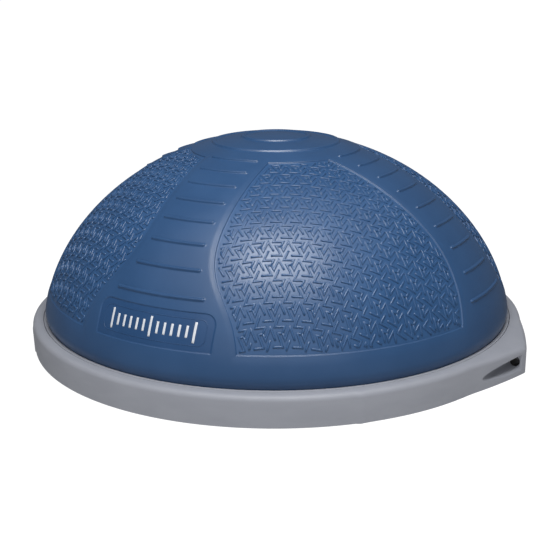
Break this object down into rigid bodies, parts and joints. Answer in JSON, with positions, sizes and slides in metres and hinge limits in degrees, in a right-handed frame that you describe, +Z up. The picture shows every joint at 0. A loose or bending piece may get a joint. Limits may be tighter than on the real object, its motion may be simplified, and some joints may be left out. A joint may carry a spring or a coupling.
{
  "type": "balance dome trainer",
  "caption": "Air-filled half dome with textured panels, clamped to a rigid round platform with a handle on two sides; it is stood on with either face up.",
  "frame": {"origin": "centre of the object on the plane that its foot pads stand on", "axes": "+Z up through the dome; the two handles lie on the X axis; -Y is one of the two sides whose band carries a label plate"},
  "size_m": [0.668, 0.6274, 0.2594],
  "materials": {
    "dome_vinyl": "satin moulded blue vinyl",
    "platform_plastic": "fine-grained grey moulding",
    "ring_plastic": "fine-grained light grey moulding",
    "black_rubber": "matt moulded rubber",
    "plug_plastic": "satin grey moulding",
    "sleeve_plastic": "extruded black tube",
    "zinc_steel": "zinc plated"
  },
  "bodies": {
    "trainer": {"platform": "platform_plastic", "clamp_ring": "ring_plastic", "dome_shell": "dome_vinyl", "bladder_floor": "dome_vinyl", "valve_seat": "black_rubber", "tunnel_sleeve_1": "sleeve_plastic", "tunnel_sleeve_2": "sleeve_plastic", "clamp_screw_01": "zinc_steel", "clamp_screw_02": "zinc_steel", "clamp_screw_03": "zinc_steel", "clamp_screw_04": "zinc_steel", "clamp_screw_05": "zinc_steel", "clamp_screw_06": "zinc_steel", "clamp_screw_07": "zinc_steel", "clamp_screw_08": "zinc_steel", "clamp_screw_09": "zinc_steel", "clamp_screw_10": "zinc_steel", "clamp_screw_11": "zinc_steel", "clamp_screw_12": "zinc_steel", "clamp_screw_13": "zinc_steel", "clamp_screw_14": "zinc_steel", "clamp_screw_15": "zinc_steel", "clamp_screw_16": "zinc_steel", "foot_pad_1": "black_rubber", "foot_pad_2": "black_rubber", "foot_pad_3": "black_rubber", "foot_pad_4": "black_rubber", "foot_pad_5": "black_rubber", "foot_pad_6": "black_rubber", "foot_pad_7": "black_rubber", "foot_pad_8": "black_rubber"},
    "valve_plug": {"valve_plug": "plug_plastic"}
  },
  "joints": [
    {"name": "valve_plug_pull", "type": "slide", "parent": "trainer", "child": "valve_plug", "axis": [-0.693, 0.693, 0.1985], "range_m": [0, 0.022]}
  ]
}
